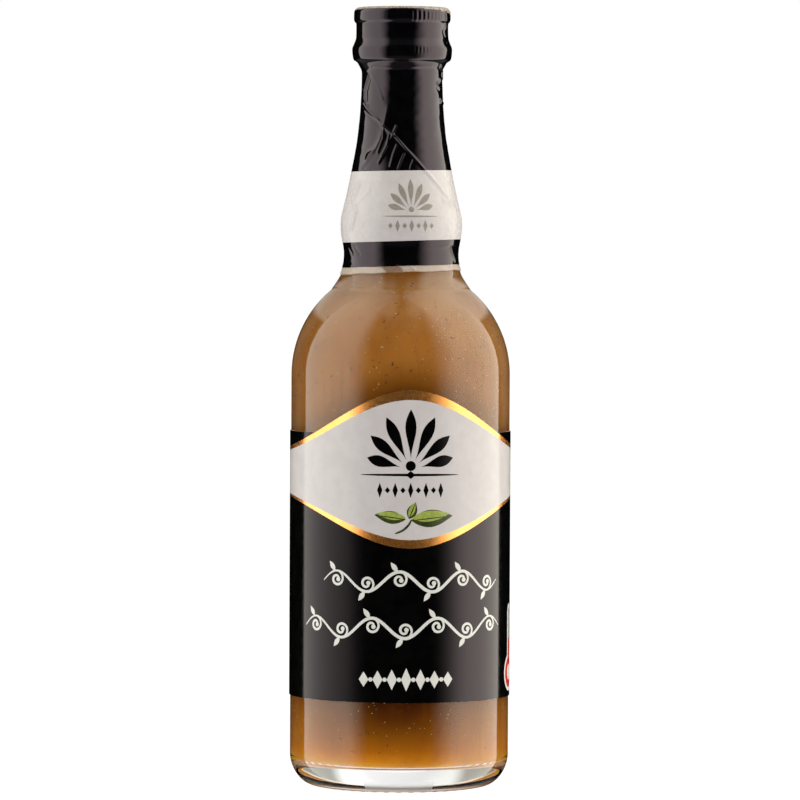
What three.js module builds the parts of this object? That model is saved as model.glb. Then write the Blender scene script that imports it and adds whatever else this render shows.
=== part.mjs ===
// A small clear glass bottle full of hot sauce, shut by a roll-on metal cap.
// A shrink sleeve wraps the cap and the neck, and a label wraps the body.
// Millimetres, +Z up, the front faces -Y, and the origin is the middle of the foot.
import * as THREE from "three";

// Every turned piece has flat sides with their corners at the same angles, so that nested pieces stay clear.
const SIDES = 40;

// Bottle, outside
const BODY_RADIUS = 21;
const SHOULDER_Z = 79.1;
const HEEL_HEIGHT = 6;
const HEEL_ROUNDNESS = 1.8;
const FOOT_RADIUS = 16.6;
const FOOT_WIDTH = 2.2;
const PUSH_UP = 1.2;

// The neck as radius and height: the hollow over the shoulder, the waist, the bulb and the long taper.
const NECK = [
  [13.4, 95.35],
  [12.15, 97.2],
  [11.35, 98.9],
  [10.8, 102.3],
  [11.5, 107.9],
  [10.4, 113.3],
  [8.95, 120.6],
  [7.95, 127.6],
  [7.5, 136.2],
  [7.85, 138],
];
const FINISH_RADIUS = 7.9;
const MOUTH_Z = 148.4;

// Bottle, inside
const WALL = 2.1;
const FLOOR_Z = 4.8;
const FLOOR_DOME = 0.7;
const FLOOR_RADIUS = 15.5;
const INNER_HEEL_Z = 8.2;
const BORE_RADIUS = 5.2;
const INNER_NECK = [
  [11.3, 93.5],
  [9.3, 96.6],
  [8.5, 101.6],
  [9.1, 107.9],
  [8.2, 113.3],
  [6.5, 120.6],
  [5.6, 127.6],
  [BORE_RADIUS, 134.5],
];

// Sauce
const SAUCE_GAP = 0.1;
const FILL_Z = 116;

// Cap, outside, from its lower edge over the bead and the groove to the rim of its top
const CAP = [
  [8.5, 139.1],
  [9.05, 139.4],
  [9.25, 139.9],
  [9.36, 140.8],
  [9.36, 141.6],
  [9.1, 142.3],
  [8.78, 143.1],
  [8.64, 143.8],
  [8.64, 146.3],
  [9.05, 147],
  [9.05, 148.6],
  [8.55, 149.25],
];
const CAP_METAL = 0.45;

// Shrink sleeve
const FILM = 0.15;
const FILM_GAP = 0.06;
const HEM_Z = 98.75;
const LAP_RADIUS = 6.4;

// Label: its straight edges, and the raised middle that follows the eye-shaped panel
const PAPER = 0.16;
const PAPER_GAP = 0.06;
const LABEL_BOTTOM = 17.5;
const LABEL_TOP = 68.3;
const EYE_ANGLE = THREE.MathUtils.degToRad(5.4);
const EYE_SIDE_Z = 64.8;
const EYE_RISE = 11.75;
const EYE_SPREAD = 13;
const SEAM_HALF_ANGLE = THREE.MathUtils.degToRad(4.5);

const point = (r, z) => new THREE.Vector2(r, z);

// A smooth curve through a few stations
function throughStations(stations, stepsBetween) {
  const curve = new THREE.SplineCurve(stations.map(([r, z]) => point(r, z)));
  return curve.getPoints((stations.length - 1) * stepsBetween);
}

// A round stretch about a centre on the axis, from one angle above the level to another
function roundStretch(radius, centreZ, from, to, steps) {
  const points = [];
  for (let i = 0; i <= steps; i += 1) {
    const angle = from + ((to - from) * i) / steps;
    points.push(point(radius * Math.cos(angle), centreZ + radius * Math.sin(angle)));
  }
  return points;
}

// A quarter of a rounded square, from a flat foot up to an upright wall
function heelStretch(footRadius, footZ, wallRadius, wallZ, roundness, steps) {
  const points = [];
  for (let i = 0; i <= steps; i += 1) {
    const angle = (i / steps) * (Math.PI / 2);
    const out = Math.sin(angle) ** (2 / roundness);
    const up = 1 - Math.cos(angle) ** (2 / roundness);
    points.push(point(footRadius + (wallRadius - footRadius) * out, footZ + (wallZ - footZ) * up));
  }
  return points;
}

// An outline moved to the left of the way it runs, with the corners mitred
function moved(outline, distance) {
  const normals = [];
  for (let i = 1; i < outline.length; i += 1) {
    const along = outline[i].clone().sub(outline[i - 1]).normalize();
    normals.push(point(-along.y, along.x));
  }
  return outline.map((corner, i) => {
    const before = normals[Math.max(i - 1, 0)];
    const after = normals[Math.min(i, normals.length - 1)];
    const mitre = before.clone().add(after).divideScalar(1 + before.dot(after));
    return corner.clone().addScaledVector(mitre, distance);
  });
}

function turned(outline) {
  return new THREE.LatheGeometry(outline, SIDES).rotateX(Math.PI / 2);
}

function bottleOutside() {
  const shoulderEnd = Math.acos(NECK[0][0] / BODY_RADIUS);
  return [
    point(0, PUSH_UP),
    point(FOOT_RADIUS * 0.6, PUSH_UP * 0.8),
    point(FOOT_RADIUS - FOOT_WIDTH, 0),
    ...heelStretch(FOOT_RADIUS, 0, BODY_RADIUS, HEEL_HEIGHT, HEEL_ROUNDNESS, 5),
    ...roundStretch(BODY_RADIUS, SHOULDER_Z, 0, shoulderEnd, 7),
    ...throughStations(NECK, 2).slice(1),
    point(FINISH_RADIUS, 138.9),
    point(FINISH_RADIUS, MOUTH_Z - 0.5),
    point(FINISH_RADIUS - 0.5, MOUTH_Z),
  ];
}

// From the floor's middle up to the mouth
function bottleInside() {
  const innerRadius = BODY_RADIUS - WALL;
  const neckStart = Math.acos(INNER_NECK[0][0] / innerRadius);
  const shoulderZ = INNER_NECK[0][1] - innerRadius * Math.sin(neckStart);
  return [
    point(0, FLOOR_Z + FLOOR_DOME),
    ...heelStretch(FLOOR_RADIUS, FLOOR_Z, innerRadius, INNER_HEEL_Z, 2, 4),
    ...roundStretch(innerRadius, shoulderZ, 0, neckStart, 5),
    ...throughStations(INNER_NECK, 2).slice(1),
    point(BORE_RADIUS, MOUTH_Z - 0.5),
    point(BORE_RADIUS + 0.5, MOUTH_Z),
  ];
}

function glassBottle() {
  return turned([...bottleOutside(), ...bottleInside().reverse()]);
}

function sauce() {
  const wetted = moved(bottleInside(), SAUCE_GAP).filter((corner) => corner.y < FILL_Z - 1);
  wetted[0].x = 0;
  const edge = INNER_NECK.findLast(([, z]) => z < FILL_Z);
  const next = INNER_NECK.find(([, z]) => z > FILL_Z);
  const share = (FILL_Z - edge[1]) / (next[1] - edge[1]);
  const fillRadius = THREE.MathUtils.lerp(edge[0], next[0], share) - 2 * SAUCE_GAP;
  return turned([...wetted, point(fillRadius, FILL_Z), point(0, FILL_Z)]);
}

function capOutside() {
  return CAP.map(([r, z]) => point(r, z));
}

function screwCap() {
  const outside = capOutside();
  const inside = moved(outside, CAP_METAL).filter((corner) => corner.y < MOUTH_Z);
  inside[0].y = outside[0].y;
  const topZ = outside.at(-1).y;
  const underside = topZ - CAP_METAL;
  const innerRim = inside.at(-1).x;
  return turned([
    point(0, underside),
    point(innerRim, underside),
    ...inside.reverse(),
    ...outside,
    point(0, topZ),
  ]);
}

// The film touches the neck up to the cap's lower edge, then the cap, and laps over the rim of its top.
function shrinkSleeve() {
  const neck = bottleOutside().filter((corner) => corner.y > HEM_Z && corner.y < CAP[0][1]);
  const cap = capOutside();
  const wrapped = [...neck, ...cap, point(LAP_RADIUS, cap.at(-1).y)];
  const inner = moved(wrapped, -FILM_GAP);
  const outer = moved(wrapped, -FILM_GAP - FILM);
  return turned([...inner.reverse(), ...outer, inner[0]]);
}

// The distance from the axis to the flat side of a turned piece that passes at an angle
function sideRadius(radius, angle) {
  const step = (2 * Math.PI) / SIDES;
  const fromMiddle = THREE.MathUtils.euclideanModulo(angle, step) - step / 2;
  return (radius * Math.cos(step / 2)) / Math.cos(fromMiddle);
}

function labelTop(angle) {
  const along = (angle - EYE_ANGLE) * BODY_RADIUS;
  const eye = EYE_SIDE_Z + EYE_RISE * Math.exp(-0.5 * (along / EYE_SPREAD) ** 2);
  return Math.max(LABEL_TOP, eye);
}

function bodyLabel() {
  const inner = BODY_RADIUS + PAPER_GAP;
  const outer = inner + PAPER;
  const start = SEAM_HALF_ANGLE - Math.PI;
  const steps = 2 * SIDES - 2;
  const positions = [];
  for (let i = 0; i <= steps; i += 1) {
    const angle = start + (i * Math.PI) / SIDES;
    const corners = [
      [inner, LABEL_BOTTOM],
      [outer, LABEL_BOTTOM],
      [outer, labelTop(angle)],
      [inner, labelTop(angle)],
    ];
    for (const [radius, z] of corners) {
      const r = sideRadius(radius, angle);
      positions.push(r * Math.sin(angle), -r * Math.cos(angle), z);
    }
  }
  const last = 4 * steps;
  const faces = [0, 1, 2, 0, 2, 3, last, last + 2, last + 1, last, last + 3, last + 2];
  for (let i = 0; i < last; i += 4) {
    for (let side = 0; side < 4; side += 1) {
      const a = i + side;
      const b = i + ((side + 1) % 4);
      faces.push(a, a + 4, b + 4, a, b + 4, b);
    }
  }
  const geometry = new THREE.BufferGeometry();
  geometry.setAttribute("position", new THREE.Float32BufferAttribute(positions, 3));
  geometry.setIndex(faces);
  return geometry;
}

function piece(name, geometry, look) {
  const mesh = new THREE.Mesh(geometry, new THREE.MeshStandardMaterial(look));
  mesh.name = name;
  return mesh;
}

const bottle = new THREE.Group();
bottle.add(
  piece("glass_bottle", glassBottle(), { color: "#dfe6e4", roughness: 0.05, metalness: 0 }),
  piece("sauce", sauce(), { color: "#8a5518", roughness: 0.4, metalness: 0 }),
  piece("screw_cap", screwCap(), { color: "#141414", roughness: 0.35, metalness: 0.6 }),
  piece("shrink_sleeve", shrinkSleeve(), { color: "#0c0c0c", roughness: 0.25, metalness: 0 }),
  piece("body_label", bodyLabel(), { color: "#101010", roughness: 0.3, metalness: 0 }),
);

export default bottle;
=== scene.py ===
import math

import bmesh
import bpy
import numpy as np
from mathutils import Matrix, Vector
from mathutils.geometry import delaunay_2d_cdt


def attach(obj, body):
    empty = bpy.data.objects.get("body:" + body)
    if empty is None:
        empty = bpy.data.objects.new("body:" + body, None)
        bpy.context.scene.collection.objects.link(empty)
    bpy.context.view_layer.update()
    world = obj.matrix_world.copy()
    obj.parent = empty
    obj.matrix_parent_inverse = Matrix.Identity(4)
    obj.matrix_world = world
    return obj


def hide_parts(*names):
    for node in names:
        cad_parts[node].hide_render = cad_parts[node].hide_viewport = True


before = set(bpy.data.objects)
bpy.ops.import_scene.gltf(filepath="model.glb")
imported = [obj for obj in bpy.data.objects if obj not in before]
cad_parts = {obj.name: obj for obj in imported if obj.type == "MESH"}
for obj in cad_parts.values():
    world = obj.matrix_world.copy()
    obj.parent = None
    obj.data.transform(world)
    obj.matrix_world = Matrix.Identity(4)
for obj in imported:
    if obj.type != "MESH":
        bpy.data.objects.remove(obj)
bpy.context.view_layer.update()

MM = 0.001
BODY = "root"

# Bottle, outside. The ring of its foot stands on short raised dashes.
BODY_RADIUS = 21
SHOULDER_Z = 79.1
HEEL_HEIGHT = 6
HEEL_ROUNDNESS = 1.8
FOOT_RADIUS = 16.6
FOOT_WIDTH = 2.2
PUSH_UP = 1.2
STIPPLES = 43
STIPPLE = 0.14
STIPPLE_SHARPNESS = 1.2
NECK = [
    (13.4, 95.35),
    (12.15, 97.2),
    (11.35, 98.9),
    (10.8, 102.3),
    (11.5, 107.9),
    (10.4, 113.3),
    (8.95, 120.6),
    (7.95, 127.6),
    (7.5, 136.2),
    (7.85, 138),
]
FINISH_RADIUS = 7.9
FINISH_Z = 138.9
MOUTH_Z = 148.4
LIP = 0.5

# Bottle, inside
WALL = 2.1
FLOOR_Z = 4.8
FLOOR_DOME = 0.7
FLOOR_RADIUS = 15.5
INNER_HEEL_Z = 8.2
BORE_RADIUS = 5.2
INNER_NECK = [
    (11.3, 93.5),
    (9.3, 96.6),
    (8.5, 101.6),
    (9.1, 107.9),
    (8.2, 113.3),
    (6.5, 120.6),
    (5.6, 127.6),
    (BORE_RADIUS, 134.5),
]

# The sauce reaches this far into the wall, so that no air shows between them.
SAUCE_OVERLAP = 0.05
FILL_Z = 116
SPECKS_FROM_Z = 8

# Cap and sleeve
CAP = [
    (8.5, 139.1),
    (9.05, 139.4),
    (9.25, 139.9),
    (9.36, 140.8),
    (9.36, 141.6),
    (9.1, 142.3),
    (8.78, 143.1),
    (8.64, 143.8),
    (8.64, 146.3),
    (9.05, 147),
    (9.05, 148.6),
    (8.55, 149.25),
]
CAP_METAL = 0.45
CAP_TOP_RADIUS = 8.0
CAP_DISH = 0.1
FILM = 0.15
FILM_GAP = 0.06
HEM_Z = 98.75
CLEAR_HEM_TOP = 99.93
BAND_BOTTOM = 104.7
BAND_TOP = 118.1
UNDER_CAP_Z = 138
CORNER_Z = 148.4
FILM_TOP = 149.46
LAP_RADIUS = 6.4

# Label
PAPER = 0.16
PAPER_GAP = 0.06
LABEL_BOTTOM = 17.5
LABEL_TOP = 68.3
EYE_ANGLE = math.radians(5.4)
SEAM_HALF_ANGLE = math.radians(4.5)

# Camera: how it stood when the photograph was taken
CAMERA_PLACE = (0, -1.030, 0.1056)
CAMERA_AIM = (-0.0001, 0, 0.0741)
CAMERA_LENS = 241.0
CAMERA_ROLL = math.radians(0.27)


def connect(tree, value, socket):
    if isinstance(value, bpy.types.NodeSocket):
        tree.links.new(value, socket)
    else:
        socket.default_value = value


def add(tree, kind, inputs=None, **settings):
    """One more node, with its settings and with values or sockets on its inputs."""
    node = tree.nodes.new(kind)
    for name, value in settings.items():
        setattr(node, name, value)
    for key, value in (inputs or {}).items():
        connect(tree, value, node.inputs[key])
    return node


def maths(tree, operation, first, second=0.0):
    """The result of one sum on numbers or sockets."""
    node = add(tree, "ShaderNodeMath", {0: first, 1: second}, operation=operation)
    return node.outputs[0]


def times(tree, *factors):
    """The product of numbers or sockets."""
    result = factors[0]
    for factor in factors[1:]:
        result = maths(tree, "MULTIPLY", result, factor)
    return result


def ramp(tree, value, start, end, low=0.0, high=1.0, curve="SMOOTHSTEP"):
    """A value that eases from low to high as another goes from start to end."""
    names = {"Value": value, "From Min": start, "From Max": end, "To Min": low, "To Max": high}
    node = add(tree, "ShaderNodeMapRange", names, interpolation_type=curve)
    return node.outputs["Result"]


def parts_of(tree, vector):
    """The three numbers of a vector, as sockets named X, Y and Z."""
    return add(tree, "ShaderNodeSeparateXYZ", {0: vector}).outputs


# Outlines


def spline(stations, steps):
    """A smooth line through a few stations of radius and height."""
    points = np.array(stations, float)
    padded = np.vstack([points[:1], points, points[-1:]])
    line = []
    for i in range(len(points) - 1):
        before, start, end, after = padded[i : i + 4]
        leaving = (end - before) / 2
        arriving = (after - start) / 2
        cube = 2 * start - 2 * end + leaving + arriving
        square = 3 * end - 3 * start - 2 * leaving - arriving
        for step in range(steps):
            t = step / steps
            line.append(tuple(cube * t**3 + square * t**2 + leaving * t + start))
    return line + [tuple(points[-1])]


def arc(radius, centre_z, start, end, steps, centre_r=0.0):
    """A round stretch about a centre, from one angle above the level to another."""
    angles = np.linspace(start, end, steps + 1)
    return [(centre_r + radius * math.cos(a), centre_z + radius * math.sin(a)) for a in angles]


def heel(foot_radius, foot_z, wall_radius, wall_z, roundness, steps):
    """A quarter of a rounded square, from a flat foot up to an upright wall."""
    points = []
    for angle in np.linspace(0, math.pi / 2, steps + 1):
        out = math.sin(angle) ** (2 / roundness)
        up = 1 - max(math.cos(angle), 0) ** (2 / roundness)
        points.append((foot_radius + (wall_radius - foot_radius) * out, foot_z + (wall_z - foot_z) * up))
    return points


def moved(outline, distance):
    """An outline moved to the left of the way it runs."""
    points = np.array(outline, float)
    along = np.diff(points, axis=0)
    along /= np.linalg.norm(along, axis=1)[:, None]
    normals = np.stack([-along[:, 1], along[:, 0]], axis=1)
    before = np.vstack([normals[:1], normals])
    after = np.vstack([normals, normals[-1:]])
    mitre = (before + after) / (1 + np.sum(before * after, axis=1))[:, None]
    return [tuple(p) for p in points + distance * mitre]


def between(start, end, steps):
    """Evenly spaced points on a straight line, without its last one."""
    return [tuple(p) for p in np.linspace(start, end, steps, endpoint=False)]


def refined(outline, step):
    """An outline with more points, so that no stretch of it is longer than a step."""
    fine = []
    for start, end in zip(outline[:-1], outline[1:]):
        fine += between(start, end, max(1, math.ceil(math.dist(start, end) / step)))
    return fine + [outline[-1]]


def bottle_outside():
    """From the middle of the push-up round the foot and up to the mouth."""
    shoulder_end = math.acos(NECK[0][0] / BODY_RADIUS)
    ring_inner = FOOT_RADIUS - FOOT_WIDTH
    rise = PUSH_UP - STIPPLE
    shares = np.linspace(0, 1, 12)
    push_up = [(ring_inner * t, STIPPLE + rise * math.cos(t * math.pi / 2) ** 0.8) for t in shares]
    ring = [(ring_inner + FOOT_WIDTH * t, STIPPLE) for t in np.linspace(0, 1, 9)]
    return [
        *push_up,
        *ring[1:],
        *heel(FOOT_RADIUS, STIPPLE, BODY_RADIUS, HEEL_HEIGHT, HEEL_ROUNDNESS, 18)[1:],
        *between((BODY_RADIUS, HEEL_HEIGHT + 1), (BODY_RADIUS, SHOULDER_Z), 10),
        *arc(BODY_RADIUS, SHOULDER_Z, 0, shoulder_end, 26),
        *spline(NECK, 5)[1:],
        (FINISH_RADIUS, FINISH_Z),
        (FINISH_RADIUS, MOUTH_Z - LIP),
        *arc(LIP, MOUTH_Z - LIP, 0.3, math.pi / 2, 4, FINISH_RADIUS - LIP),
    ]


def bottle_inside():
    """From the floor's middle up to the mouth."""
    inner_radius = BODY_RADIUS - WALL
    neck_start = math.acos(INNER_NECK[0][0] / inner_radius)
    shoulder_z = INNER_NECK[0][1] - inner_radius * math.sin(neck_start)
    floor = [(FLOOR_RADIUS * t, FLOOR_Z + FLOOR_DOME * (1 - t * t)) for t in np.linspace(0, 1, 8)]
    return [
        *floor,
        *heel(FLOOR_RADIUS, FLOOR_Z, inner_radius, INNER_HEEL_Z, 2, 14)[1:],
        *between((inner_radius, INNER_HEEL_Z + 1), (inner_radius, shoulder_z), 8),
        *arc(inner_radius, shoulder_z, 0, neck_start, 18),
        *spline(INNER_NECK, 4)[1:],
        (BORE_RADIUS, MOUTH_Z - LIP),
        (BORE_RADIUS + LIP, MOUTH_Z),
    ]


# Pieces made by node trees


def new_tree(name, inputs, result):
    """A tree with named inputs and one piece of geometry as its result."""
    tree = bpy.data.node_groups.new(name, "GeometryNodeTree")
    for socket, kind in inputs.items():
        tree.interface.new_socket(socket, in_out="INPUT", socket_type="NodeSocket" + kind)
    tree.interface.new_socket(result, in_out="OUTPUT", socket_type="NodeSocketGeometry")
    return tree, add(tree, "NodeGroupInput").outputs


def end_tree(tree, geometry, look):
    """Makes the geometry real, gives it its finish and hands it out."""
    real = add(tree, "GeometryNodeRealizeInstances", {"Geometry": geometry})
    done = add(tree, "GeometryNodeSetMaterial", {"Geometry": real.outputs[0], "Material": look})
    add(tree, "NodeGroupOutput", {0: done.outputs[0]})


def show(name, mesh):
    piece = bpy.data.objects.new(name, mesh)
    bpy.context.scene.collection.objects.link(piece)
    return piece


def made_by(tree, name, start_mesh, values):
    """A plain mesh object in one finish, made by a node tree from a start mesh."""
    starter = show(name + "_start", start_mesh)
    modifier = starter.modifiers.new("maker", "NODES")
    modifier.node_group = tree
    for item in tree.interface.items_tree:
        if item.in_out == "INPUT" and item.name in values:
            modifier[item.identifier] = values[item.name]
    evaluated = starter.evaluated_get(bpy.context.evaluated_depsgraph_get())
    mesh = bpy.data.meshes.new_from_object(evaluated)
    mesh.name = name
    mesh.materials.clear()
    mesh.materials.append(values["Finish"])
    starter.modifiers.remove(modifier)
    bpy.data.objects.remove(starter)
    return show(name, mesh)


def places_of(mesh):
    """The mesh's points, in millimetres."""
    places = np.zeros(len(mesh.vertices) * 3)
    mesh.vertices.foreach_get("co", places)
    return places.reshape(-1, 3) / MM


def volume(mesh):
    """The space inside a closed mesh, below nothing where its faces point inwards."""
    mesh.calc_loop_triangles()
    places = places_of(mesh)
    triangles = np.array([tuple(triangle.vertices) for triangle in mesh.loop_triangles])
    first, second, third = (places[triangles[:, corner]] for corner in range(3))
    return np.einsum("ij,ij->i", first, np.cross(second, third)).sum() / 6


# Turned pieces: how many sides each has, and how much closer they stand at the front
GLASS_SIDES = 344
SAUCE_SIDES = 256
CAP_SIDES = 192
FILM_SIDES = 340
FRONT_PACKING = 0.5

# How fast ribs fade away from their deepest side
RIB_FADE = 40.0


def half_plus(tree, value, scale):
    """Half, plus a value times a scale, kept between nothing and one."""
    scaled = times(tree, value, scale)
    return add(tree, "ShaderNodeMath", {0: scaled, 1: 0.5}, operation="ADD", use_clamp=True).outputs[0]


def rib_share(tree, angle, ribs, given):
    """How much of its depth a rib has at an angle."""
    wave = maths(tree, "COSINE", times(tree, angle, ribs["Z"]))
    turn = maths(tree, "COSINE", maths(tree, "SUBTRACT", angle, given["Deepest side"]))
    near = maths(tree, "POWER", half_plus(tree, turn, 0.5), RIB_FADE)
    depth = maths(tree, "MAXIMUM", near, given["Evenness"])
    return times(tree, half_plus(tree, wave, given["Rib sharpness"]), depth)


def turning_tree():
    """Turns an outline round the upright axis, with ribs where the outline's relief says so."""
    tree, given = new_tree("turning", {
        "Outline": "Geometry",
        "Sides": "Int",
        "Rib sharpness": "Float",
        "Deepest side": "Float",
        "Evenness": "Float",
        "Front packing": "Float",
        "Finish": "Material",
    }, "Piece")
    outline = given["Outline"]
    size = add(tree, "GeometryNodeAttributeDomainSize", {"Geometry": outline}, component="MESH")
    rows = size.outputs["Point Count"]
    columns = maths(tree, "ADD", given["Sides"], 1.0)
    counts = {"Size X": 1.0, "Size Y": 1.0, "Vertices X": columns, "Vertices Y": rows}
    grid = add(tree, "GeometryNodeMeshGrid", counts)
    place = add(tree, "GeometryNodeInputPosition").outputs[0]
    across = parts_of(tree, place)
    even = times(tree, maths(tree, "ADD", across["X"], 0.5), 2 * math.pi)
    packing = times(tree, maths(tree, "SINE", even), given["Front packing"])
    angle = maths(tree, "SUBTRACT", even, packing)
    last_row = maths(tree, "SUBTRACT", rows, 1.0)
    row = maths(tree, "ROUND", times(tree, maths(tree, "ADD", across["Y"], 0.5), last_row))

    def sampled(value):
        """The three numbers of a value at the outline's point of this row."""
        inputs = {"Geometry": outline, "Value": value, "Index": row}
        node = add(tree, "GeometryNodeSampleIndex", inputs, data_type="FLOAT_VECTOR", domain="POINT")
        return parts_of(tree, node.outputs[0])

    point = sampled(place)
    relief = add(tree, "GeometryNodeInputNamedAttribute", {"Name": "relief"}, data_type="FLOAT_VECTOR")
    ribs = sampled(relief.outputs["Attribute"])
    rib = rib_share(tree, angle, ribs, given)
    radius = maths(tree, "ADD", point["X"], times(tree, ribs["X"], rib))
    height = maths(tree, "ADD", point["Z"], times(tree, ribs["Y"], rib))
    around = add(tree, "ShaderNodeCombineXYZ", {
        "X": times(tree, radius, maths(tree, "SINE", angle)),
        "Y": times(tree, radius, maths(tree, "COSINE", angle), -1.0),
        "Z": height,
    })
    wrap = {"Geometry": grid.outputs["Mesh"], "Position": around.outputs[0]}
    wrapped = add(tree, "GeometryNodeSetPosition", wrap)
    weld = {"Geometry": wrapped.outputs[0], "Distance": 0.001 * MM}
    closed = add(tree, "GeometryNodeMergeByDistance", weld)
    smooth = add(tree, "GeometryNodeSetShadeSmooth", {"Geometry": closed.outputs[0]})
    end_tree(tree, smooth.outputs[0], given["Finish"])
    return tree


TURNING = turning_tree()


def outline_mesh(outline, relief=None):
    """An outline of radius and height as a mesh line in the XZ plane, in metres.

    Its relief says at each point how far a rib stands out and up, and how many ribs go round.
    """
    mesh = bpy.data.meshes.new("outline")
    points = [(r * MM, 0, z * MM) for r, z in outline]
    mesh.from_pydata(points, [(i, i + 1) for i in range(len(points) - 1)], [])
    attribute = mesh.attributes.new("relief", "FLOAT_VECTOR", "POINT")
    if relief is not None:
        attribute.data.foreach_set("vector", (relief * (MM, MM, 1)).astype(np.float32).ravel())
    return mesh


def turned(name, outline, sides, look, relief=None, rib_sharpness=0.5, deepest_side=0.0, evenness=1.0,
           front_packing=0.0):
    """A closed piece turned from its outline, with its faces pointing outwards."""
    values = {
        "Sides": sides,
        "Rib sharpness": rib_sharpness,
        "Deepest side": deepest_side,
        "Evenness": evenness,
        "Front packing": front_packing,
        "Finish": look,
    }
    piece = made_by(TURNING, name, outline_mesh(outline, relief), values)
    if volume(piece.data) < 0:
        piece.data.flip_normals()
    return piece


def keep(piece, slot, *nodes):
    """The piece rides on the bottle and stands for its nodes, which are hidden. The slot is not used."""
    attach(piece, BODY)
    if nodes:
        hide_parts(*nodes)


# Finishes

# How fine the cap lacquer's bump is, in bumps a metre
BUMP_SCALE = 900.0

# The two colours that a finish drifts between, where several finishes share them
WHITE_INK = ((0.54, 0.50, 0.505), (0.57, 0.53, 0.535))
CLEAR_FILM = ((0.62, 0.52, 0.45), (0.68, 0.58, 0.51))

# A gloss lower than the usual, for white film and light inks
SOFT_GLOSS = {"Specular_IOR_Level": 0.25}


def rgba(colour):
    return (*colour, 1.0)


def material(name):
    made = bpy.data.materials.new(name)
    made.use_nodes = True
    made.node_tree.nodes.clear()
    return made


def noise(tree, scale, detail=2.0, stretch=(1, 1, 1)):
    """Noise on the piece's own place, in patches of about 1/scale metres."""
    place = add(tree, "ShaderNodeTexCoord").outputs["Object"]
    if stretch != (1, 1, 1):
        place = add(tree, "ShaderNodeMapping", {"Vector": place, "Scale": stretch}).outputs[0]
    return add(tree, "ShaderNodeTexNoise", {"Vector": place, "Scale": scale, "Detail": detail}).outputs[0]


def mixed(tree, share, first, second):
    node = add(tree, "ShaderNodeMix", {0: share, 6: first, 7: second}, data_type="RGBA")
    return node.outputs[2]


def surfaced(made, inputs):
    """Gives a new material one surface with these inputs."""
    surface = add(made.node_tree, "ShaderNodeBsdfPrincipled", inputs)
    add(made.node_tree, "ShaderNodeOutputMaterial", {"Surface": surface.outputs[0]})
    return made


def finish(name, colours, rough, patch=400.0, bump=0.0, **sockets):
    """A surface whose colour and gloss drift between two values, with a fine bump in millimetres."""
    made = material(name)
    tree = made.node_tree
    share = ramp(tree, noise(tree, patch, 4.0), 0.35, 0.65)
    inputs = {
        "Base Color": mixed(tree, share, rgba(colours[0]), rgba(colours[1])),
        "Roughness": ramp(tree, noise(tree, patch * 2.3, 3.0), 0.3, 0.7, *rough),
    }
    if bump:
        height = noise(tree, BUMP_SCALE, 3.0)
        raised = add(tree, "ShaderNodeBump", {"Strength": 1.0, "Distance": bump * MM, "Height": height})
        inputs["Normal"] = raised.outputs[0]
    for key, value in sockets.items():
        inputs[key.replace("_", " ")] = value
    return surfaced(made, inputs)


# Glass


def clear_glass(name, roughness):
    return surfaced(material(name), {
        "Base Color": rgba((0.97, 0.985, 0.975)),
        "Roughness": roughness,
        "IOR": 1.5,
        "Transmission Weight": 1.0,
    })


def foot_stipple(outside, count):
    """The dashes reach down from the ring of the foot, and less so towards its two edges."""
    relief = np.zeros((count, 3))
    for i, (r, z) in enumerate(outside):
        across = abs(r - (FOOT_RADIUS - FOOT_WIDTH / 2)) / (FOOT_WIDTH / 2)
        if z == STIPPLE and across < 0.9:
            relief[i] = (0, -STIPPLE * min(1, 2.5 * (0.9 - across)), STIPPLES)
    return relief


# The heel is worn at the front, up to this height and as far to each side.
WORN_TOP = 2.4
WORN_ANGLE = math.radians(20)


def frost_foot(mesh):
    """The underside of the foot is slightly rough, and so is a worn patch of the heel at the front."""
    mesh.materials.append(clear_glass("frosted_glass", 0.3))
    for polygon in mesh.polygons:
        x, y, z = polygon.center / MM
        underside = math.hypot(x, y) < FOOT_RADIUS and z < PUSH_UP + 0.2
        at_front = abs(math.atan2(x, -y)) < WORN_ANGLE
        worn_front = math.hypot(x, y) >= FOOT_RADIUS and z < WORN_TOP and at_front
        if (underside or worn_front) and polygon.normal.z < -0.3:
            polygon.material_index = 1


def glass_bottle():
    outside = bottle_outside()
    section = outside + bottle_inside()[::-1]
    clear = clear_glass("clear_glass", 0.0)
    relief = foot_stipple(outside, len(section))
    piece = turned("glass_bottle_clear", section, GLASS_SIDES, clear, relief, STIPPLE_SHARPNESS)
    frost_foot(piece.data)
    keep(piece, "clear_glass", "glass_bottle")


# Sauce

# Against glass, a thin liquid mirrors all light that comes in flat enough.
LIQUID_AGAINST_GLASS = 0.907

# The colours by height, in millimetres, with light and shade painted in: the lit ones are painted brightest
# amber low down, where light comes up through the glass base, and the shaded ones stand where little light
# gets in
LIT_SAUCE = [
    (4, (0.88, 0.40, 0.03)),
    (8, (0.78, 0.28, 0.009)),
    (20, (0.58, 0.19, 0.006)),
    (70, (0.53, 0.207, 0.032)),
    (85, (0.54, 0.225, 0.040)),
    (95, (0.57, 0.25, 0.052)),
]
SHADED_SAUCE = [
    (20, (0.075, 0.009, 0.0005)),
    (70, (0.33, 0.115, 0.008)),
]

# The height where the colours end
STOPS_TOP = 100

# The shade by the label: how far it reaches above and below it, and the height that parts the two
SHADE_ABOVE = 7.5
SHADE_BELOW = 14
SHADE_MIDDLE_Z = 40

# Specks: how many a square metre, the smallest and the largest in millimetres, and the seed
FLECKS = (110000, (0.05, 0.04, 0.03), (0.42, 0.18, 0.08), 3)
SEEDS = (150000, (0.04, 0.04, 0.03), (0.16, 0.12, 0.08), 8)

# The colours of a painted paler, greyer haze on the two sides that are seen edge on, for the glass's
# reflection there, and of the clouds, streaks and grit
PAINTED_HAZE_SAUCE = (0.60, 0.31, 0.14)
BROWN_SAUCE = (0.30, 0.085, 0.006)


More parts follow.
